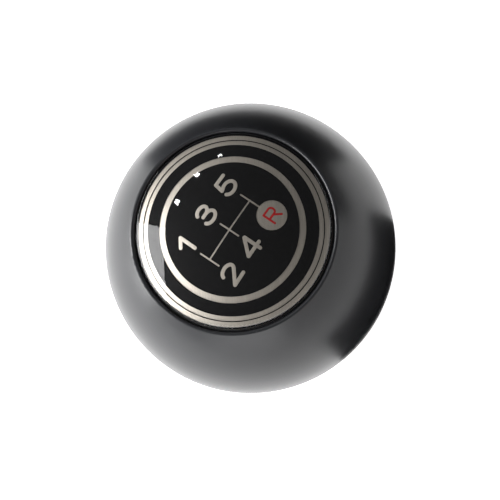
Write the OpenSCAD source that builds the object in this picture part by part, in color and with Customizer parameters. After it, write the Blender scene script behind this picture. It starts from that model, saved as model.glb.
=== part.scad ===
// Ball knob for a car's gear lever, with a crowned shift-pattern badge under clear resin.
// Z is the lever's axis and Y points to the windscreen. The knob stands on its neck at Z = 0.

/* [Ball grip] */
// Diameter of the ball
ball_d = 50; // [49:0.5:56]
// Diameter of the neck under the ball
neck_d = 28; // [26:0.5:32]
// Height of the neck's straight stretch
neck_h = 3; // [1.5:0.5:8]
// Radius of the fillet that leads the neck into the ball
neck_fillet_r = 6; // [3:0.5:9]
// Rounding of the neck's bottom edge
base_edge_r = 0.8; // [0.4:0.1:1.5]

/* [Badge recess] */
// Diameter of the recess in the ball's crown
recess_d = 33.5; // [33.2:0.1:36]
// Depth of the recess from its lip to its floor
recess_depth = 4.3; // [3.9:0.1:5.5]
// Rounding of the recess lip
lip_r = 0.45; // [0.2:0.05:0.8]

/* [Threaded insert] */
// Nominal diameter of the lever's fine metric thread
thread_d = 12; // [8, 10, 12]
// Pitch of that thread
thread_pitch = 1.25; // [1:0.25:1.5]
// Depth of the threaded hole
bore_depth = 22; // [16:1:23]
// Angle of the drill point that ends the hole
drill_angle = 118; // [110:1:140]
// Depth of the countersink at the hole's mouth
mouth_h = 0.9; // [0.4:0.1:1.4]
// Diameter of the insert over its knurls
insert_d = 17; // [16:0.5:19]
// Length of the insert
insert_len = 28; // [27:0.5:32]
// Diameter of the flange that shows in the neck's end
flange_d = 21; // [20:0.5:22]
// Thickness of the flange
flange_h = 2; // [1:0.5:3]
// Number of ridges round a knurled band
knurl_count = 36; // [24:2:48]
// Height of the knurl ridges
knurl_depth = 0.5; // [0.3:0.1:0.8]
// Length of each knurled band
knurl_h = 7; // [5:0.5:8]
// Length of the grooves that lock the insert into the moulding
groove_h = 3; // [2:0.5:4]
// Depth of those grooves below the knurl roots
groove_depth = 0.8; // [0.4:0.1:1]

/* [Badge carrier] */
// Radius of the badge plate's crowned face
crown_r = 44; // [40:1:60]
// Depth of the badge plate's edge below the recess lip
badge_sink = 0.9; // [0.6:0.1:1.2]
// Thickness of the carrier's crowned roof
roof_t = 1.4; // [1:0.1:1.8]
// Thickness of the carrier's skirt
skirt_t = 1.5; // [1.2:0.1:2]
// Number of stiffening ribs under the roof
rib_count = 6; // [3:3:9]
// Thickness of each rib
rib_t = 1; // [0.8:0.1:1.4]
// Outer diameter of the hub ring that the ribs meet
hub_d = 8; // [6:0.5:10]
// Wall of the hub ring
hub_t = 1.2; // [0.8:0.1:1.6]
// Diameter of the locating pins
pin_d = 3; // [2.5:0.1:3.5]
// Length of the pins below the carrier
pin_len = 4; // [3:0.5:6]
// Length of each pin's tapered tip
pin_tip_h = 0.8; // [0.4:0.1:1.2]
// Diameter of the circle that the pins stand on
pin_circle_d = 22; // [20:0.5:24]
// Diameter of the boss that roots each pin
boss_d = 5; // [4.5:0.1:5.5]

/* [Badge plate] */
// Diameter of the badge plate and of the resin on it
plate_d = 32.7; // [32.5:0.1:33]
// Thickness of the aluminium plate
plate_t = 0.3; // [0.2:0.05:0.5]
// Thickness of the black print
ink_t = 0.05; // [0.04:0.01:0.1]
// Thickness of the adhesive tape under the carrier
tape_t = 0.3; // [0.2:0.05:0.5]
// Width of the adhesive tape
tape_w = 9.5; // [9:0.5:11]

/* [Shift pattern] */
// Inner diameter of the bare ring round the pattern
inner_ring_d = 22.45; // [22:0.05:23]
// Width of the ring round the pattern
inner_ring_w = 1.05; // [0.8:0.05:1.4]
// Inner diameter of the bare double ring at the edge
outer_ring_d = 28.7; // [28:0.1:29]
// Width of the double ring
outer_ring_w = 1.7; // [1.4:0.05:1.7]
// Width of the black hairline that parts the double ring
hairline_w = 0.15; // [0.1:0.01:0.25]
// Distance of the hairline from the double ring's inner edge
hairline_at = 0.82; // [0.6:0.02:1]
// Distance between two neighbouring gates
gate_pitch = 5.86; // [5:0.02:6]
// Distance from the neutral line to the end of each gate
gate_reach = 1.95; // [1.5:0.05:2.2]
// Width of the gate lines
gate_line_w = 0.28; // [0.2:0.02:0.4]
// Sideways place of the middle gate
gate_x = -0.4; // [-0.6:0.05:0.6]
// Diameter of the reverse gear's bare disc
reverse_d = 5.05; // [4:0.05:5.2]
// Distance from the neutral line to the disc's centre
reverse_y = 4.39; // [4.2:0.01:4.5]

/* [Resin dome] */
// Thickness of the resin at its crest
dome_t = 1.1; // [0.9:0.1:1.5]
// Height of the resin's edge before rounding
dome_edge_t = 1; // [0.8:0.05:1.1]
// Rounding of the resin's edge
dome_edge_r = 0.7; // [0.4:0.05:0.8]

/* [Fits] */
// Gap between the moulded grip and the insert
mould_gap = 0.02; // [0.02:0.01:0.05]
// Gap between stacked badge layers
layer_gap = 0.02; // [0.02:0.01:0.05]
// Gap between the carrier and the recess wall
recess_gap = 0.15; // [0.1:0.05:0.3]
// Gap round and under a locating pin
pin_gap = 0.1; // [0.05:0.05:0.2]
// Gap round a pin where it passes the tape
tape_gap = 0.5; // [0.3:0.1:0.8]

/* [Hidden] */
$fn = 96;

// Ball and neck
ball_r = ball_d / 2;
neck_r = neck_d / 2;
ball_z = neck_h + sqrt(pow(ball_r + neck_fillet_r, 2) - pow(neck_r + neck_fillet_r, 2));
waist_share = ball_r / (ball_r + neck_fillet_r);
waist_r = waist_share * (neck_r + neck_fillet_r);
waist_z = ball_z - waist_share * (ball_z - neck_h);

// Recess and its lip
recess_r = recess_d / 2;
lip_z = ball_z + sqrt(pow(ball_r, 2) - pow(recess_r, 2));
floor_z = lip_z - recess_depth;
lip_round_x = recess_r + lip_r;
lip_round_z = ball_z + sqrt(pow(ball_r - lip_r, 2) - pow(lip_round_x, 2));
lip_tangent = atan2(lip_round_z - ball_z, lip_round_x);

// Insert, as heights along the lever's axis; the hole has the thread's minor diameter
minor_share = 1.0825;
bore_r = (thread_d - minor_share * thread_pitch) / 2;
mouth_r = bore_r + mouth_h;
drill_h = bore_r / tan(drill_angle / 2);
knurl_r = insert_d / 2;
knurl_root_r = knurl_r - knurl_depth;
groove_r = knurl_root_r - groove_depth;
lower_knurl_z = flange_h + groove_h;
upper_knurl_z = lower_knurl_z + knurl_h + groove_h;

// Badge stack, as radii about the centre of the crown
plate_r = plate_d / 2;
plate_edge_z = lip_z - badge_sink;
crown_z = plate_edge_z - sqrt(pow(crown_r, 2) - pow(plate_r, 2));
seat_sphere_r = crown_r - plate_t - layer_gap;
roof_sphere_r = seat_sphere_r - roof_t;
ink_low_r = crown_r + layer_gap;
ink_high_r = ink_low_r + ink_t;
resin_low_r = ink_high_r + layer_gap;

// Carrier and its pins
carrier_r = recess_r - recess_gap;
tape_z = floor_z + layer_gap;
carrier_z = tape_z + tape_t + layer_gap;
tape_r = carrier_r - recess_gap;
pin_r = pin_d / 2;
pin_circle_r = pin_circle_d / 2;
// Two pins stand close together, so the badge fits one way round only
pin_angles = [90, 210, 270];

// Resin
dome_crest_z = crown_z + resin_low_r + dome_t;
dome_side_z = crown_z + sqrt(pow(resin_low_r, 2) - pow(plate_r, 2)) + dome_edge_t;
dome_rise = dome_crest_z - dome_side_z;
dome_r = (pow(plate_r, 2) + pow(dome_rise, 2)) / (2 * dome_rise);
dome_z = dome_crest_z - dome_r;
dome_round_x = plate_r - dome_edge_r;
dome_round_z = dome_z + sqrt(pow(dome_r - dome_edge_r, 2) - pow(dome_round_x, 2));
dome_tangent = atan2(dome_round_z - dome_z, dome_round_x);

// Print
inner_ring_r = inner_ring_d / 2;
outer_ring_r = outer_ring_d / 2;
hairline_r = outer_ring_r + hairline_at;

// A length that clears the whole knob, for cuts
past = 2 * ball_d;

// Turns the half of a profile that lies right of the axis
module turned() {
    rotate_extrude()
        intersection() {
            children();
            translate([0, -past])
                square([past, 2 * past]);
        }
}

// Disc on the axis of a profile
module disc(z, r) {
    translate([0, z])
        circle(r = r);
}

// Block of a profile between two radii and two heights
module block(x_from, x_to, z_from, z_to) {
    translate([x_from, z_from])
        square([x_to - x_from, z_to - z_from]);
}

// Slice of a disc between two directions less than 180 degrees apart
module slice(x, z, r, from, to) {
    translate([x, z])
        intersection() {
            circle(r = r);
            wedge(2 * r, from, to);
        }
}

// Corner of the plane between two directions, cut off far outside
module wedge(reach, from, to) {
    half = (to - from) / 2;
    polygon([[0, 0], for (i = [0 : 2]) reach * [cos(from + i * half), sin(from + i * half)]]);
}

// Half section of the ball, its filleted neck and the recess in the crown
module grip_outline() {
    difference() {
        intersection() {
            disc(ball_z, ball_r);
            block(0, ball_r, waist_z, past);
        }
        block(0, recess_r, floor_z, past);
        translate([lip_round_x, lip_round_z])
            wedge(ball_r, lip_tangent, 180);
    }
    slice(lip_round_x, lip_round_z, lip_r, lip_tangent, 180);
    difference() {
        block(0, waist_r, neck_h, waist_z);
        translate([neck_r + neck_fillet_r, neck_h])
            circle(r = neck_fillet_r);
    }
    block(0, neck_r, base_edge_r, neck_h);
    block(0, neck_r - base_edge_r, 0, base_edge_r);
    slice(neck_r - base_edge_r, base_edge_r, base_edge_r, 270, 360);
}

// Band of straight knurling
module knurl(z, h, tip_r, root_r) {
    step = 180 / knurl_count;
    translate([0, 0, z])
        linear_extrude(height = h)
            polygon([
                for (i = [0 : 2 * knurl_count - 1])
                    (i % 2 == 0 ? tip_r : root_r) * [cos(i * step), sin(i * step)]
            ]);
}

// Outside of the insert, or the hole that the moulding leaves round it
module insert_blank(grow) {
    end = 2 * grow;
    translate([0, 0, -grow]) {
        cylinder(r = flange_d / 2 + grow, h = flange_h + end);
        cylinder(r = groove_r + grow, h = insert_len + end);
    }
    for (z = [lower_knurl_z, upper_knurl_z])
        knurl(z - grow, knurl_h + end, knurl_r + grow, knurl_root_r + grow);
}

// Threaded hole at its minor diameter, with a drilled end and a countersunk mouth
module threaded_bore() {
    cylinder(r = bore_r, h = bore_depth);
    translate([0, 0, bore_depth])
        cylinder(r1 = bore_r, r2 = 0, h = drill_h);
    cylinder(r1 = mouth_r, r2 = bore_r, h = mouth_h);
}

// Repeats a shape at each locating pin
module at_pins(z) {
    for (a = pin_angles)
        rotate([0, 0, a])
            translate([pin_circle_r, 0, z])
                children();
}

// Satin urethane ball, moulded in one piece round the insert
module grip() {
    color("#2b2c2e")
        difference() {
            turned()
                grip_outline();
            insert_blank(mould_gap);
            at_pins(floor_z - pin_len - pin_gap)
                cylinder(r = pin_r + pin_gap, h = pin_len + recess_depth);
        }
}

// Turned brass insert that screws onto the lever
module threaded_insert() {
    color("#b08d57")
        difference() {
            insert_blank(0);
            threaded_bore();
        }
}

// Ring of double-sided tape between the recess floor and the carrier
module adhesive_tape() {
    color("#d8d4c8")
        difference() {
            translate([0, 0, tape_z])
                cylinder(r = tape_r, h = tape_t);
            translate([0, 0, floor_z])
                cylinder(r = tape_r - tape_w, h = recess_depth);
            at_pins(floor_z)
                cylinder(r = pin_r + tape_gap, h = recess_depth);
        }
}

// Ribs, hub ring and pin bosses under the carrier's roof, which they run into
module carrier_web() {
    hub_r = hub_d / 2;
    rib_from = hub_r - hub_t / 2;
    rib_to = carrier_r - skirt_t / 2;
    intersection() {
        turned()
            disc(crown_z, roof_sphere_r + roof_t / 2);
        translate([0, 0, carrier_z]) {
            difference() {
                cylinder(r = hub_r, h = past);
                cylinder(r = hub_r - hub_t, h = past);
            }
            for (i = [0 : rib_count - 1])
                rotate([0, 0, i * 360 / rib_count])
                    translate([rib_from, -rib_t / 2, 0])
                        cube([rib_to - rib_from, rib_t, past]);
            at_pins(0)
                cylinder(d = boss_d, h = past);
        }
    }
}

// Locating pin with a tapered tip, rooted in its boss
module pin() {
    root = boss_d / 2;
    cylinder(r1 = pin_r - pin_tip_h / 2, r2 = pin_r, h = pin_tip_h);
    translate([0, 0, pin_tip_h])
        cylinder(r = pin_r, h = pin_len - pin_tip_h + root);
}

// Crowned black moulding that carries the badge plate and locates it in the recess
module badge_carrier() {
    color("#17181a") {
        turned()
            difference() {
                intersection() {
                    disc(crown_z, seat_sphere_r);
                    block(0, carrier_r, carrier_z, past);
                }
                intersection() {
                    disc(crown_z, roof_sphere_r);
                    block(0, carrier_r - skirt_t, 0, past);
                }
            }
        carrier_web();
        at_pins(carrier_z - pin_len)
            pin();
    }
}

// Half section of a crowned layer of the badge
module crowned_layer(low_r, high_r, reach) {
    difference() {
        intersection() {
            disc(crown_z, high_r);
            block(0, reach, crown_z, past);
        }
        disc(crown_z, low_r);
    }
}

// Crowned plate of brushed aluminium
module badge_plate() {
    color("#b9b4aa")
        turned()
            crowned_layer(crown_r - plate_t, crown_r, plate_r);
}

// Windows in the print through which the gate lines and the reverse disc show
module gate_windows() {
    translate([gate_x - gate_pitch, -gate_line_w / 2])
        square([2 * gate_pitch, gate_line_w]);
    for (i = [-1 : 1])
        translate([gate_x + i * gate_pitch - gate_line_w / 2, -gate_reach])
            square([gate_line_w, 2 * gate_reach]);
    translate([gate_x + gate_pitch, -reverse_y])
        circle(d = reverse_d);
}

// Black print on the plate, open where the bare metal shows
module badge_ink() {
    color("#131315")
        difference() {
            turned()
                difference() {
                    crowned_layer(ink_low_r, ink_high_r, plate_r);
                    block(inner_ring_r, inner_ring_r + inner_ring_w, 0, past);
                    block(outer_ring_r, hairline_r - hairline_w / 2, 0, past);
                    block(hairline_r + hairline_w / 2, outer_ring_r + outer_ring_w, 0, past);
                }
            linear_extrude(height = past)
                gate_windows();
        }
}

// Half section of the cast resin, rounded where surface tension held its edge
module dome_outline() {
    difference() {
        union() {
            difference() {
                intersection() {
                    disc(dome_z, dome_r);
                    block(0, plate_r, crown_z, past);
                }
                translate([dome_round_x, dome_round_z])
                    wedge(past, 0, dome_tangent);
            }
            slice(dome_round_x, dome_round_z, dome_edge_r, 0, dome_tangent);
        }
        disc(crown_z, resin_low_r);
    }
}

// Clear resin lens over the print
module badge_dome() {
    color("#dfe6ea", 0.35)
        turned()
            dome_outline();
}

grip();
threaded_insert();
adhesive_tape();
badge_carrier();
badge_plate();
badge_ink();
badge_dome();
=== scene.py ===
import math
import bpy
from mathutils import Matrix, Vector


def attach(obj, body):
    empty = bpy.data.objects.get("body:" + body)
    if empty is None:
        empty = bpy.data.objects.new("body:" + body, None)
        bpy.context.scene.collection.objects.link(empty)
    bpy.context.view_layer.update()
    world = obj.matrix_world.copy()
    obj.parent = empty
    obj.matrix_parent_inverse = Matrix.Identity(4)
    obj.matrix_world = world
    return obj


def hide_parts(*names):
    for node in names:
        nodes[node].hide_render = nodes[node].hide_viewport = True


# Ball knob for a gear lever: a satin moulded ball with a crowned shift-pattern badge under clear resin
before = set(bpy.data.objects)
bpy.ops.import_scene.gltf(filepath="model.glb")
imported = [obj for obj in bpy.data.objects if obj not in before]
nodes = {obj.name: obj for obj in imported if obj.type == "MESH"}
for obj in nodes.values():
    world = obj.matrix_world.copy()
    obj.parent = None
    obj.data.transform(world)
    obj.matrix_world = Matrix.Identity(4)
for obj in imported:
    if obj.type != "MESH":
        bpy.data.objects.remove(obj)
bpy.context.view_layer.update()
mm = 0.001


# Helpers

def say(stage):
    print("knob:", stage)


def letGo():
    # everything out of edit mode and nothing selected
    if bpy.context.object and bpy.context.object.mode != "OBJECT":
        bpy.ops.object.mode_set(mode="OBJECT")
    bpy.ops.object.select_all(action="DESELECT")


def hexColour(code, alpha=1.0):
    # sRGB hex to linear
    parts = [int(code[i:i + 2], 16) / 255 for i in (1, 3, 5)]
    return [p / 12.92 if p < 0.04045 else ((p + 0.055) / 1.055) ** 2.4 for p in parts] + [alpha]


def perMm(size):
    # texture scale for a pattern whose cells are this many millimetres
    return 1 / (size * mm)


def addNode(tree, kind, settings=None, links=None):
    node = tree.nodes.new("ShaderNode" + kind)
    for key, value in (settings or {}).items():
        if isinstance(key, str) and hasattr(node, key):
            setattr(node, key, value)
        else:
            node.inputs[key].default_value = value
    for key, source in (links or {}).items():
        tree.links.new(source, node.inputs[key])
    return node


def newMaterial(name):
    material = bpy.data.materials.new(name)
    material.use_nodes = True
    material.node_tree.nodes.clear()
    return material, material.node_tree


def giveFinish(piece, material):
    # a CAD node keeps its slots and only gets a better material in them
    if not piece.material_slots:
        piece.data.materials.append(material)
    for slot in piece.material_slots:
        slot.material = material


# Camera

cameraSet = {
    "lens": 166.9,
    "distance": 0.4,
    "ballHeight": 0.026685,
    "azimuth": -11.73,
    "elevation": 77.05,
    "roll": 44.4,
    "aimRight": -0.000097,
    "aimUp": -0.000307,
    "nearest": 0.01,
}


def cameraAxes():
    turn, rise = math.radians(cameraSet["azimuth"]), math.radians(cameraSet["elevation"])
    back = Vector((math.sin(turn) * math.cos(rise), -math.cos(turn) * math.cos(rise), math.sin(rise)))
    level = Vector((math.cos(turn), math.sin(turn), 0))
    upright = back.cross(level)
    roll = math.radians(cameraSet["roll"])
    right = math.cos(roll) * level - math.sin(roll) * upright
    up = math.sin(roll) * level + math.cos(roll) * upright
    return right, up, back


right, up, back = cameraAxes()
ballCentre = Vector((0, 0, cameraSet["ballHeight"]))
bpy.ops.object.camera_add()
camera = bpy.context.object
camera.name = "camera"
camera.data.lens = cameraSet["lens"]
camera.data.clip_start = cameraSet["nearest"]
aim = ballCentre + cameraSet["aimRight"] * right + cameraSet["aimUp"] * up
place = Matrix((right, up, back)).transposed().to_4x4()
place.translation = aim + cameraSet["distance"] * back
camera.matrix_world = place
bpy.context.scene.camera = camera
say("camera placed")


# Studio

lampSet = {
    # polar: degrees from the line of sight; turn: degrees round the picture, from its right side
    "keyWindow": {
        "polar": 74, "turn": 185, "far": 0.5, "size": (0.40, 0.45), "radiance": 9.5, "colour": "#ffffff"
    },
    "lowFill": {
        "polar": 70, "turn": 268, "far": 0.6, "size": (0.50, 0.30), "radiance": 1.6, "colour": "#ffffff"
    },
    "warmLamp": {
        "polar": 50, "turn": 312, "far": 0.6, "size": (0.06, 0.06), "radiance": 5.0, "colour": "#ffb9a8"
    },
    "spotOne": {
        "polar": 56.1,
        "turn": 127.9,
        "far": 0.5,
        "size": (0.018, 0.018),
        "radiance": 60,
        "colour": "#ffffff",
    },
    "spotTwo": {
        "polar": 53.6,
        "turn": 144.8,
        "far": 0.5,
        "size": (0.018, 0.018),
        "radiance": 60,
        "colour": "#ffffff",
    },
    "spotThree": {
        "polar": 58.6,
        "turn": 113.5,
        "far": 0.5,
        "size": (0.014, 0.014),
        "radiance": 35,
        "colour": "#ffffff",
    },
}


def addLamp(name, choice):
    polar, turn = math.radians(choice["polar"]), math.radians(choice["turn"])
    outward = math.cos(turn) * right + math.sin(turn) * up
    towards = math.cos(polar) * back + math.sin(polar) * outward
    fall = math.sin(polar) * back - math.cos(polar) * outward
    bpy.ops.object.light_add(type="AREA")
    lamp = bpy.context.object
    lamp.name = name
    lamp.data.shape = "RECTANGLE"
    lamp.data.size, lamp.data.size_y = choice["size"]
    lamp.data.energy = choice["radiance"] * math.pi * choice["size"][0] * choice["size"][1]
    lamp.data.color = hexColour(choice["colour"])[:3]
    pose = Matrix((fall.cross(towards), fall, towards)).transposed().to_4x4()
    pose.translation = ballCentre + choice["far"] * towards
    lamp.matrix_world = pose
    lamp.visible_camera = False
    return lamp


for name, choice in lampSet.items():
    addLamp(name, choice)

roomSet = {"light": "#ffffff", "strength": 0.14}
world = bpy.data.worlds.new("room")
bpy.context.scene.world = world
world.use_nodes = True
world.node_tree.nodes.clear()
glow = addNode(
    world.node_tree,
    "Background",
    {"Color": hexColour(roomSet["light"]), "Strength": roomSet["strength"]},
)
addNode(world.node_tree, "OutputWorld", links={"Surface": glow.outputs[0]})

sweepSet = {
    "radius": 1.6,
    "cove": 0.35,
    "wall": 0.9,
    "sides": 96,
    "bends": 8,
    "smoothAt": 40,
    "paper": "#f2f2f2",
    "lift": 1.0,
}


def paperSweep():
    # round paper floor that turns up into a wall all the way round
    letGo()
    bpy.ops.mesh.primitive_circle_add(vertices=sweepSet["sides"], radius=sweepSet["radius"], fill_type="NGON")
    sweep = bpy.context.object
    sweep.name = "studio_sweep"
    bpy.ops.object.mode_set(mode="EDIT")
    bpy.ops.mesh.select_all(action="SELECT")
    bpy.ops.mesh.region_to_loop()
    bends = sweepSet["bends"]
    radius, height = sweepSet["radius"], 0
    for i in range(1, bends + 1):
        bend = math.pi / 2 * i / bends
        wider = sweepSet["radius"] + sweepSet["cove"] * math.sin(bend)
        higher = sweepSet["cove"] * (1 - math.cos(bend))
        bpy.ops.mesh.extrude_region_move(TRANSFORM_OT_translate={"value": (0, 0, higher - height)})
        bpy.ops.transform.resize(value=(wider / radius, wider / radius, 1), center_override=(0, 0, higher))
        radius, height = wider, higher
    bpy.ops.mesh.extrude_region_move(TRANSFORM_OT_translate={"value": (0, 0, sweepSet["wall"])})
    bpy.ops.mesh.select_all(action="SELECT")
    bpy.ops.mesh.normals_make_consistent(inside=True)
    bpy.ops.object.mode_set(mode="OBJECT")
    bpy.ops.object.shade_smooth_by_angle(angle=math.radians(sweepSet["smoothAt"]))
    return sweep


def matteStudioPaper():
    # matt white paper: even and without shine, lifted to pure white where the lens or a shiny part sees it
    material, tree = newMaterial("matte_studio_paper")
    path = addNode(tree, "LightPath")
    seen = addNode(
        tree,
        "Math",
        {"operation": "MAXIMUM"},
        {0: path.outputs["Is Camera Ray"], 1: path.outputs["Is Glossy Ray"]},
    )
    seen = addNode(
        tree,
        "Math",
        {"operation": "MAXIMUM"},
        {0: seen.outputs[0], 1: path.outputs["Is Transmission Ray"]},
    )
    strength = addNode(tree, "Math", {"operation": "MULTIPLY", 1: sweepSet["lift"]}, {0: seen.outputs[0]})
    paper = addNode(tree, "BsdfDiffuse", {"Color": hexColour(sweepSet["paper"])})
    glow = addNode(tree, "Emission", {"Color": (1, 1, 1, 1)}, {"Strength": strength.outputs[0]})
    both = addNode(tree, "AddShader", links={0: paper.outputs[0], 1: glow.outputs[0]})
    addNode(tree, "OutputMaterial", links={"Surface": both.outputs[0]})
    return material


sweep = paperSweep()
giveFinish(sweep, matteStudioPaper())

cardSet = {
    # black cards that only reflections see, painted shade: the near one paints the knob's shadow on the floor
    # into the reflections, the other two paint dark into the reflections of the upper side. Turns round the
    # picture in degrees, then in metres the distances from the knob's axis and the height of the standing
    # part
    "nearPaintedShadow": {"from": 308, "to": 382, "near": 0.027, "far": 0.095, "height": 0},
    "farPaintedShade": {"from": 45, "to": 142, "near": 0.070, "far": 0.35, "height": 0},
    "standingPaintedShade": {"from": 15, "to": 160, "near": 0.34, "far": 0.35, "height": 0.24},
}

shadeCardSet = {"black": "#0a0a0a", "sides": 120, "lift": 0.0004}


def pictureTurn(turn):
    # the way on the floor that points to this turn in the picture
    outward = math.cos(math.radians(turn)) * right + math.sin(math.radians(turn)) * up
    return math.atan2(outward.y, outward.x)


def reflectionShadeCard(name, choice):
    letGo()
    start = pictureTurn(choice["from"])
    sweepTurn = (pictureTurn(choice["to"]) - start) % (2 * math.pi)
    bpy.ops.mesh.primitive_circle_add(
        vertices=shadeCardSet["sides"], radius=choice["near"], location=(0, 0, shadeCardSet["lift"])
    )
    card = bpy.context.object
    card.name = name
    bpy.ops.object.mode_set(mode="EDIT")
    bpy.ops.mesh.select_all(action="DESELECT")
    bpy.ops.object.mode_set(mode="OBJECT")
    for vertex in card.data.vertices:
        vertex.select = (math.atan2(vertex.co.y, vertex.co.x) - start) % (2 * math.pi) > sweepTurn
    bpy.ops.object.mode_set(mode="EDIT")
    bpy.ops.mesh.delete(type="VERT")
    bpy.ops.mesh.select_all(action="SELECT")
    bpy.ops.mesh.extrude_region_move(TRANSFORM_OT_translate={"value": (0, 0, 0)})
    wider = choice["far"] / choice["near"]
    bpy.ops.transform.resize(value=(wider, wider, 1), center_override=(0, 0, 0))
    if choice["height"]:
        bpy.ops.mesh.extrude_region_move(TRANSFORM_OT_translate={"value": (0, 0, choice["height"])})
    bpy.ops.object.mode_set(mode="OBJECT")
    bpy.ops.object.transform_apply(location=True, rotation=True, scale=True)
    # hidden from the lens, from diffuse light and from shadows, so each card only paints shade into
    # reflections
    card.visible_camera = card.visible_diffuse = card.visible_shadow = False
    giveFinish(card, paintedShadeBlack)
    return card


def paintedShadeCard():
    # black card seen only in reflections: painted shade, near black
    material, tree = newMaterial("painted_shade_card")
    pile = addNode(tree, "BsdfDiffuse", {"Color": hexColour(shadeCardSet["black"])})
    addNode(tree, "OutputMaterial", links={"Surface": pile.outputs[0]})
    return material


paintedShadeBlack = paintedShadeCard()
for name, choice in cardSet.items():
    reflectionShadeCard(name, choice)
say("studio set up")


# Finishes

gripSet = {
    "deep": "#242528",
    "pale": "#2c2d30",
    "cloudMm": 7,
    "grainMm": 0.3,
    "roughLow": 0.27,
    "roughHigh": 0.33,
    "dent": 0.35,
    "dentMm": 0.02,
    "ior": 1.5,
}


def satinMouldedUrethane():
    # self-skinned urethane from a blasted mould: near black, with a soft wide sheen and fine grain
    material, tree = newMaterial("satin_moulded_urethane")
    where = addNode(tree, "TexCoord").outputs["Object"]
    cloud = addNode(tree, "TexNoise", {"Scale": perMm(gripSet["cloudMm"]), "Detail": 2.0}, {"Vector": where})
    grain = addNode(
        tree,
        "TexNoise",
        {"Scale": perMm(gripSet["grainMm"]), "Detail": 3.0, "Roughness": 0.6},
        {"Vector": where},
    )
    tone = addNode(
        tree,
        "Mix",
        {"data_type": "RGBA", 6: hexColour(gripSet["deep"]), 7: hexColour(gripSet["pale"])},
        {0: cloud.outputs[0]},
    )
    rough = addNode(
        tree,
        "MapRange",
        {"To Min": gripSet["roughLow"], "To Max": gripSet["roughHigh"]},
        {"Value": grain.outputs[0]},
    )
    bump = addNode(
        tree,
        "Bump",
        {"Strength": gripSet["dent"], "Distance": gripSet["dentMm"] * mm},
        {"Height": grain.outputs[0]},
    )
    skin = addNode(
        tree,
        "BsdfPrincipled",
        {"IOR": gripSet["ior"]},
        {"Base Color": tone.outputs[2], "Roughness": rough.outputs[0], "Normal": bump.outputs[0]},
    )
    addNode(tree, "OutputMaterial", links={"Surface": skin.outputs[0]})
    return material


plateSet = {
    "metal": "#cdc6bb",
    "rough": 0.48,
    "roughBy": 0.05,
    "brushTurn": 34,
    "streakMm": 0.16,
    "strokeMm": 5.0,
    "depthMm": 1,
    "streakLow": 0.3,
    "streakHigh": 0.7,
    "dull": 0.82,
    "bright": 1.0,
    "dent": 0.5,
    "dentMm": 0.01,
}


def brushedAluminium():
    # rolled sheet brushed in one direction: fine bright and dull lines run along the brush
    material, tree = newMaterial("brushed_aluminium")
    where = addNode(tree, "TexCoord").outputs["Object"]
    turned = addNode(
        tree, "Mapping", {"Rotation": (0, 0, -math.radians(plateSet["brushTurn"]))}, {"Vector": where}
    )
    drawn = addNode(
        tree,
        "Mapping",
        {
            "Scale": (
                perMm(plateSet["strokeMm"]), perMm(plateSet["streakMm"]), perMm(plateSet["depthMm"])
            )
        },
        {"Vector": turned.outputs[0]},
    )
    streak = addNode(
        tree, "TexNoise", {"Scale": 1.0, "Detail": 3.0, "Roughness": 0.65}, {"Vector": drawn.outputs[0]}
    )
    tone = addNode(
        tree,
        "MapRange",
        {
            "From Min": plateSet["streakLow"],
            "From Max": plateSet["streakHigh"],
            "To Min": plateSet["dull"],
            "To Max": plateSet["bright"],
        },
        {"Value": streak.outputs[0]},
    )
    metal = addNode(
        tree,
        "Mix",
        {"data_type": "RGBA", "blend_type": "MULTIPLY", 0: 1.0, 6: hexColour(plateSet["metal"])},
        {7: tone.outputs[0]},
    )
    rough = addNode(
        tree,
        "MapRange",
        {
            "To Min": plateSet["rough"] - plateSet["roughBy"],
            "To Max": plateSet["rough"] + plateSet["roughBy"],
        },
        {"Value": streak.outputs[0]},
    )
    bump = addNode(
        tree,
        "Bump",
        {"Strength": plateSet["dent"], "Distance": plateSet["dentMm"] * mm},
        {"Height": streak.outputs[0]},
    )
    sheet = addNode(
        tree,
        "BsdfPrincipled",
        {"Metallic": 1.0},
        {"Base Color": metal.outputs[2], "Roughness": rough.outputs[0], "Normal": bump.outputs[0]},
    )
    addNode(tree, "OutputMaterial", links={"Surface": sheet.outputs[0]})
    return material


inkSet = {
    "black": "#0d0d0e",
    "worn": "#151516",
    "red": "#9c1a1c",
    "redWorn": "#b03030",
    "meshMm": 0.5,
    "roughLow": 0.35,
    "roughHigh": 0.5,
    "shine": 0.05,
}


def screenPrintedInk(name, deep, thin):
    # screen print under resin, which wets it, so it has colour and next to no shine of its own
    material, tree = newMaterial(name)
    where = addNode(tree, "TexCoord").outputs["Object"]
    mesh = addNode(tree, "TexNoise", {"Scale": perMm(inkSet["meshMm"]), "Detail": 4.0}, {"Vector": where})
    tone = addNode(
        tree, "Mix", {"data_type": "RGBA", 6: hexColour(deep), 7: hexColour(thin)}, {0: mesh.outputs[0]}
    )
    rough = addNode(
        tree,
        "MapRange",
        {"To Min": inkSet["roughLow"], "To Max": inkSet["roughHigh"]},
        {"Value": mesh.outputs[0]},
    )
    film = addNode(
        tree,
        "BsdfPrincipled",
        {"Specular IOR Level": inkSet["shine"]},
        {"Base Color": tone.outputs[2], "Roughness": rough.outputs[0]},
    )
    addNode(tree, "OutputMaterial", links={"Surface": film.outputs[0]})
    return material


resinSet = {
    "tint": "#ffffff",
    "rough": 0.03,
    "ior": 1.5,
    "waveMm": 9,
    "dent": 0.3,
    "dentMm": 0.02,
}


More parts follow.
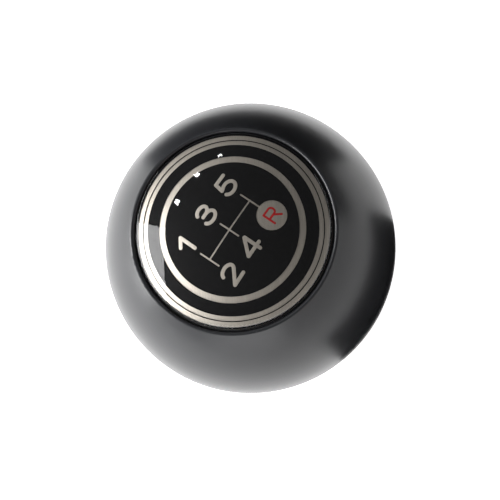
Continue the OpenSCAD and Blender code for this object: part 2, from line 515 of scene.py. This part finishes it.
def castClearResin():
    # poured two-part resin: water clear, its skin glossy and very slightly wavy
    material, tree = newMaterial("cast_clear_resin")
    where = addNode(tree, "TexCoord").outputs["Object"]
    wave = addNode(tree, "TexNoise", {"Scale": perMm(resinSet["waveMm"]), "Detail": 1.0}, {"Vector": where})
    bump = addNode(
        tree,
        "Bump",
        {"Strength": resinSet["dent"], "Distance": resinSet["dentMm"] * mm},
        {"Height": wave.outputs[0]},
    )
    edge = addNode(tree, "Fresnel", {"IOR": resinSet["ior"]}, {"Normal": bump.outputs[0]})
    side = addNode(tree, "NewGeometry")
    front = addNode(tree, "Math", {"operation": "SUBTRACT", 0: 1.0}, {1: side.outputs["Backfacing"]})
    shine = addNode(tree, "Math", {"operation": "MULTIPLY"}, {0: edge.outputs[0], 1: front.outputs[0]})
    clear = addNode(tree, "BsdfTransparent", {"Color": hexColour(resinSet["tint"])})
    gloss = addNode(tree, "BsdfAnisotropic", {"Roughness": resinSet["rough"]}, {"Normal": bump.outputs[0]})
    both = addNode(tree, "MixShader", links={0: shine.outputs[0], 1: clear.outputs[0], 2: gloss.outputs[0]})
    addNode(tree, "OutputMaterial", links={"Surface": both.outputs[0]})
    return material


brassSet = {
    "metal": "#c8a468",
    "worn": "#b08d52",
    "patchMm": 3,
    "roughLow": 0.20,
    "roughHigh": 0.32,
    "feedMm": 0.12,
    "waveUnits": 20,
    "dent": 0.4,
    "dentMm": 0.01,
}


def turnedBrass():
    # bar-turned free-cutting brass: yellow metal with rings left by the tool's feed
    # the wave node makes its rings 2 pi times as wide as the feed, which is coarse enough to show
    material, tree = newMaterial("turned_brass")
    where = addNode(tree, "TexCoord").outputs["Object"]
    rings = addNode(
        tree,
        "TexWave",
        {
            "wave_type": "RINGS",
            "rings_direction": "Z",
            "Scale": perMm(brassSet["feedMm"]) / brassSet["waveUnits"],
            "Distortion": 0.6,
            "Detail": 2.0,
        },
        {"Vector": where},
    )
    patch = addNode(tree, "TexNoise", {"Scale": perMm(brassSet["patchMm"]), "Detail": 3.0}, {"Vector": where})
    tone = addNode(
        tree,
        "Mix",
        {"data_type": "RGBA", 6: hexColour(brassSet["metal"]), 7: hexColour(brassSet["worn"])},
        {0: patch.outputs[0]},
    )
    rough = addNode(
        tree,
        "MapRange",
        {"To Min": brassSet["roughLow"], "To Max": brassSet["roughHigh"]},
        {"Value": patch.outputs[0]},
    )
    bump = addNode(
        tree,
        "Bump",
        {"Strength": brassSet["dent"], "Distance": brassSet["dentMm"] * mm},
        {"Height": rings.outputs["Fac"]},
    )
    metal = addNode(
        tree,
        "BsdfPrincipled",
        {"Metallic": 1.0},
        {"Base Color": tone.outputs[2], "Roughness": rough.outputs[0], "Normal": bump.outputs[0]},
    )
    addNode(tree, "OutputMaterial", links={"Surface": metal.outputs[0]})
    return material


carrierSet = {
    "black": "#17181a",
    "pale": "#1f2022",
    "sparkMm": 0.2,
    "roughLow": 0.5,
    "roughHigh": 0.62,
    "dent": 0.3,
    "dentMm": 0.015,
    "ior": 1.53,
}


def mouldedAbs():
    # spark-eroded mould: dull black plastic with an even fine texture
    material, tree = newMaterial("moulded_abs")
    where = addNode(tree, "TexCoord").outputs["Object"]
    spark = addNode(
        tree, "TexNoise", {"Scale": perMm(carrierSet["sparkMm"]), "Detail": 3.0}, {"Vector": where}
    )
    tone = addNode(
        tree,
        "Mix",
        {"data_type": "RGBA", 6: hexColour(carrierSet["black"]), 7: hexColour(carrierSet["pale"])},
        {0: spark.outputs[0]},
    )
    rough = addNode(
        tree,
        "MapRange",
        {"To Min": carrierSet["roughLow"], "To Max": carrierSet["roughHigh"]},
        {"Value": spark.outputs[0]},
    )
    bump = addNode(
        tree,
        "Bump",
        {"Strength": carrierSet["dent"], "Distance": carrierSet["dentMm"] * mm},
        {"Height": spark.outputs[0]},
    )
    skin = addNode(
        tree,
        "BsdfPrincipled",
        {"IOR": carrierSet["ior"]},
        {"Base Color": tone.outputs[2], "Roughness": rough.outputs[0], "Normal": bump.outputs[0]},
    )
    addNode(tree, "OutputMaterial", links={"Surface": skin.outputs[0]})
    return material


tapeSet = {
    "paper": "#d8d4c8",
    "fibre": "#c4bfae",
    "fibreMm": 0.6,
    "roughLow": 0.35,
    "roughHigh": 0.55,
    "ior": 1.47,
}


def acrylicTissueTape():
    # tissue carrier soaked in acrylic glue: off-white, cloudy with fibres and slightly tacky in its shine
    material, tree = newMaterial("acrylic_tissue_tape")
    where = addNode(tree, "TexCoord").outputs["Object"]
    fibre = addNode(
        tree,
        "TexNoise",
        {"Scale": perMm(tapeSet["fibreMm"]), "Detail": 5.0, "Distortion": 1.5},
        {"Vector": where},
    )
    tone = addNode(
        tree,
        "Mix",
        {"data_type": "RGBA", 6: hexColour(tapeSet["paper"]), 7: hexColour(tapeSet["fibre"])},
        {0: fibre.outputs[0]},
    )
    rough = addNode(
        tree,
        "MapRange",
        {"To Min": tapeSet["roughLow"], "To Max": tapeSet["roughHigh"]},
        {"Value": fibre.outputs[0]},
    )
    film = addNode(
        tree,
        "BsdfPrincipled",
        {"IOR": tapeSet["ior"]},
        {"Base Color": tone.outputs[2], "Roughness": rough.outputs[0]},
    )
    addNode(tree, "OutputMaterial", links={"Surface": film.outputs[0]})
    return material


plate = brushedAluminium()
redInk = screenPrintedInk("red_screen_ink", inkSet["red"], inkSet["redWorn"])
giveFinish(nodes["grip"], satinMouldedUrethane())
giveFinish(nodes["badge_plate"], plate)
giveFinish(nodes["badge_ink"], screenPrintedInk("black_screen_ink", inkSet["black"], inkSet["worn"]))
giveFinish(nodes["badge_dome"], castClearResin())
giveFinish(nodes["badge_carrier"], mouldedAbs())
giveFinish(nodes["adhesive_tape"], acrylicTissueTape())
say("finishes made")

# Printed numerals

printSet = {
    "penMm": 0.62,
    "stepMm": 0.4,
    "reversePenMm": 0.36,
    "sides": 16,
    "capSteps": 5,
    "filmMm": 0.01,
    "crownHeight": 0.003495,
    "silverOn": 0.044077,
    "redOn": 0.044007,
    "smoothAt": 60,
}


def bow(x, y, wide, high, start, end, steps=22):
    # points round part of an ellipse, in degrees from its right side
    turns = [math.radians(start + (end - start) * i / steps) for i in range(steps + 1)]
    return [(x + wide * math.cos(turn), y + high * math.sin(turn)) for turn in turns]


# each figure's pen lines in millimetres on the badge, with Y to the windscreen
figures = {
    "numeral_1": [[(-7.29, 5.26), (-5.93, 6.26)], [(-5.93, 6.26), (-5.98, 3.19)]],
    "numeral_2": [
        bow(-6.185, -3.65, 1.245, 0.78, 170, -38) + [(-7.38, -5.78)], [(-7.38, -5.80), (-4.90, -5.83)]
    ],
    "numeral_3": [
        bow(-0.45, 5.56, 1.08, 0.70, 165, -90),
        [(-1.08, 4.86), (-0.40, 4.86)],
        bow(-0.43, 4.03, 1.24, 0.83, 90, -170),
    ],
    "numeral_4": [
        [(-0.12, -2.82), (-2.24, -5.08)],
        [(-2.24, -5.12), (0.70, -5.17)],
        [(-0.05, -2.83), (-0.05, -5.92)],
    ],
    "numeral_5": [
        [(6.57, 6.26), (4.54, 6.26)],
        [(4.54, 6.26), (4.27, 4.78)],
        [(4.27, 4.78)] + bow(5.38, 4.14, 1.26, 0.94, 125, -162),
    ],
    "reverse_letter": [
        [(4.66, -3.33), (4.66, -5.58)],
        [(4.66, -3.33)] + bow(5.98, -3.925, 0.52, 0.595, 90, -90) + [(4.66, -4.52)],
        [(5.72, -4.52), (6.56, -5.60)],
    ],
}


def penStations(line, reach):
    # centre, heading and radius of the round bar at each point, with a round tip at both ends
    points = [Vector(line[0])]
    for start, end in zip(line, line[1:]):
        start, end = Vector(start), Vector(end)
        parts = max(1, math.ceil((end - start).length / printSet["stepMm"]))
        points += [start.lerp(end, i / parts) for i in range(1, parts + 1)]
    legs = [(b - a).normalized() for a, b in zip(points, points[1:])]
    headings = [legs[0]] + [(a + b).normalized() for a, b in zip(legs, legs[1:])] + [legs[-1]]
    rises = [math.pi / 2 * (i + 0.5) / (printSet["capSteps"] + 0.5) for i in range(printSet["capSteps"])]

    def tip(end, leg, side):
        return [(end + side * leg * reach * math.sin(rise), leg, reach * math.cos(rise)) for rise in rises]

    bar = [(point, heading, reach) for point, heading in zip(points, headings)]
    return tip(points[0], legs[0], -1)[::-1] + bar + tip(points[-1], legs[-1], 1)


def drawLine(line, reach):
    # a closed round bar, extruded from station to station and turned into each bend
    stations = penStations(line, reach)
    place, heading, size = stations[0]
    facing = (math.pi / 2, 0, math.atan2(heading.y, heading.x) + math.pi / 2)
    bpy.ops.mesh.primitive_circle_add(
        vertices=printSet["sides"],
        radius=size,
        fill_type="NGON",
        location=(place.x, place.y, 0),
        rotation=facing,
    )
    if bpy.context.object.mode != "EDIT":
        bpy.ops.object.mode_set(mode="EDIT")
        bpy.ops.mesh.select_all(action="SELECT")
    for nextPlace, nextHeading, nextSize in stations[1:]:
        step = nextPlace - place
        centre = (nextPlace.x, nextPlace.y, 0)
        bpy.ops.mesh.extrude_region_move(TRANSFORM_OT_translate={"value": (step.x, step.y, 0)})
        if (nextHeading - heading).length > 1e-6:
            bpy.ops.transform.rotate(
                value=heading.angle_signed(nextHeading), orient_axis="Z", center_override=centre
            )
        if abs(nextSize - size) > 1e-6:
            bpy.ops.transform.resize(value=(nextSize / size,) * 3, center_override=centre)
        place, heading, size = nextPlace, nextHeading, nextSize


def printFigure(name, lines, pen, layer, material):
    # drawn at one unit to the millimetre, united, then flattened to a film and laid on the badge's crown
    letGo()
    for line in lines:
        drawLine(line, pen / 2)
    bpy.ops.mesh.select_all(action="SELECT")
    bpy.ops.mesh.normals_make_consistent(inside=False)
    bpy.ops.mesh.intersect_boolean(operation="UNION", solver="EXACT", use_self=True)
    bpy.ops.object.mode_set(mode="OBJECT")
    figure = bpy.context.object
    figure.name = name
    bpy.ops.object.transform_apply(location=True, rotation=True, scale=True)
    for vertex in figure.data.vertices:
        x, y, rise = vertex.co.x * mm, vertex.co.y * mm, vertex.co.z / pen
        reach = layer + rise * printSet["filmMm"] * mm
        vertex.co = (x, y, printSet["crownHeight"] + math.sqrt(reach ** 2 - x ** 2 - y ** 2))
    bpy.ops.object.shade_smooth_by_angle(angle=math.radians(printSet["smoothAt"]))
    giveFinish(figure, material)
    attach(figure, "root")
    return figure


for name, lines in figures.items():
    if name == "reverse_letter":
        printFigure(name, lines, printSet["reversePenMm"], printSet["redOn"], redInk)
    else:
        printFigure(name, lines, printSet["penMm"], printSet["silverOn"], plate)
say("numerals printed")


# Threaded insert

insertSet = {
    "columns": 72,
    "outsideMm": [
        (6.9, 28), (7.2, 27.7), (7.2, 22), (8.5, 22), (8.5, 15), (7.2, 15), (7.2, 12), (8.5, 12),
        (8.5, 5), (7.2, 5), (7.2, 2), (10.3, 2), (10.5, 1.8), (10.5, 0.25), (10.25, 0),
    ],
    "knurlTipMm": 8.5,
    "knurlRootMm": 8.0,
    "mouthMm": 6.223,
    "minorMm": 5.323,
    "majorMm": 6.0,
    "pitchMm": 1.25,
    "rowsPerPitch": 16,
    "boreMm": 22,
    "drillTipMm": 25.2,
    "drillTipRadiusMm": 0.02,
    "runOutMm": 0.3,
    "innerFlat": 0.25,
    "outerFlat": 0.125,
    "aboveFlangeMm": 2.5,
    "nearMm": 0.01,
    "axisMm": 0.1,
    "smoothAt": 25,
}


def threadRadius(height, turn):
    # sixty degree thread, flats as parts of the pitch: inner flat, flank, outer flat, flank
    # it runs out before the hole's end and gives way to the countersink at its mouth
    phase = (height / insertSet["pitchMm"] - turn / (2 * math.pi)) % 1
    inner, outer = insertSet["innerFlat"], insertSet["outerFlat"]
    flank = (1 - inner - outer) / 2
    if phase < inner:
        cut = 0
    elif phase < inner + flank:
        cut = (phase - inner) / flank
    elif phase < inner + flank + outer:
        cut = 1
    else:
        cut = (1 - phase) / flank
    runOut = min(1, max(0, (insertSet["boreMm"] - insertSet["runOutMm"] - height) / insertSet["pitchMm"]))
    thread = insertSet["minorMm"] + (insertSet["majorMm"] - insertSet["minorMm"]) * cut * runOut
    return max(thread, insertSet["mouthMm"] - height)


def turnedInsert():
    # the outside first, ring by ring, then over the flange and up the hole: one closed skin
    letGo()
    profile = list(insertSet["outsideMm"])
    rowHeight = insertSet["pitchMm"] / insertSet["rowsPerPitch"]
    boreRows = round(insertSet["boreMm"] / rowHeight)
    profile.append((insertSet["mouthMm"], 0))
    profile += [(insertSet["minorMm"], i * rowHeight) for i in range(1, boreRows + 1)]
    profile.append((insertSet["drillTipRadiusMm"], insertSet["drillTipMm"]))
    radius, height = profile[0]
    bpy.ops.mesh.primitive_circle_add(
        vertices=insertSet["columns"], radius=radius, fill_type="NGON", location=(0, 0, height)
    )
    insert = bpy.context.object
    insert.name = "brass_insert"
    bpy.ops.object.mode_set(mode="EDIT")
    bpy.ops.mesh.select_all(action="SELECT")
    for nextRadius, nextHeight in profile[1:]:
        bpy.ops.mesh.extrude_region_move(TRANSFORM_OT_translate={"value": (0, 0, nextHeight - height)})
        ratio = nextRadius / radius
        bpy.ops.transform.resize(value=(ratio, ratio, 1), center_override=(0, 0, nextHeight))
        radius, height = nextRadius, nextHeight
    bpy.ops.mesh.merge(type="CENTER")
    bpy.ops.mesh.select_all(action="SELECT")
    bpy.ops.mesh.normals_make_consistent(inside=False)
    bpy.ops.object.mode_set(mode="OBJECT")
    bpy.ops.object.transform_apply(location=True, rotation=True, scale=True)
    columnTurn = 2 * math.pi / insertSet["columns"]
    near, axis = insertSet["nearMm"], insertSet["axisMm"]
    for vertex in insert.data.vertices:
        x, y, z = vertex.co
        radius, turn = math.hypot(x, y), math.atan2(y, x)
        wanted = radius
        if radius > insertSet["knurlTipMm"] - near and z > insertSet["aboveFlangeMm"]:
            ridge = round(turn / columnTurn) % 2 == 0
            wanted = insertSet["knurlTipMm"] if ridge else insertSet["knurlRootMm"]
        elif axis < radius < insertSet["mouthMm"] + near and z < insertSet["boreMm"] - near:
            wanted = threadRadius(z, turn)
        share = wanted / radius if radius > axis else 1
        vertex.co = (x * share * mm, y * share * mm, z * mm)
    bpy.ops.object.shade_smooth_by_angle(angle=math.radians(insertSet["smoothAt"]))
    return insert


insert = turnedInsert()
giveFinish(insert, turnedBrass())
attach(insert, "root")
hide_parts("threaded_insert")
say("insert turned")

scene = bpy.context.scene
scene.view_settings.view_transform = "Standard"

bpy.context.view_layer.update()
say("sizes written")
